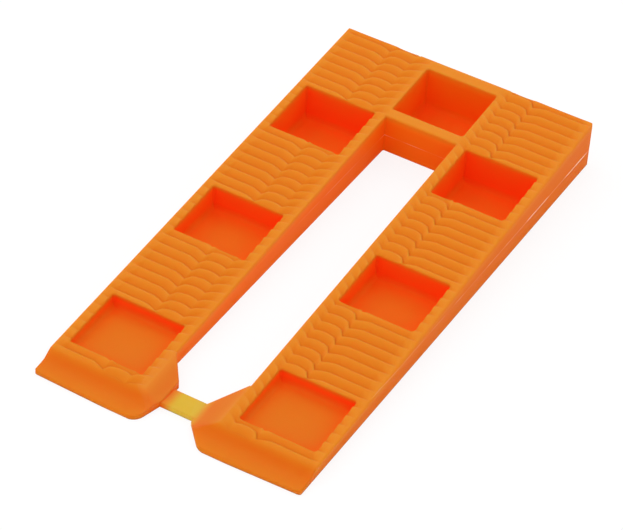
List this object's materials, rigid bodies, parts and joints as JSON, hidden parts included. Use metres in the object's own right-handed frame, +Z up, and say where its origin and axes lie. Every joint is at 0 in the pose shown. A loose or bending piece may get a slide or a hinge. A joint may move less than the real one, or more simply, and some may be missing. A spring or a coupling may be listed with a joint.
{
  "type": "plastic shim wedge",
  "caption": "Forked plastic shim wedge with ribbed legs, open slot, moulded pockets and a thin tie web across its mouth.",
  "frame": {"origin": "centre of the bounding box on the flat underside", "axes": "+Z up from the underside, +Y from the noses to the thick heel, X across the two legs"},
  "size_m": [0.045, 0.09, 0.008],
  "materials": {
    "orange_plastic": "satin moulded polyolefin, slightly translucent orange"
  },
  "bodies": {
    "root": {"shim_wedge": "orange_plastic"}
  },
  "joints": []
}
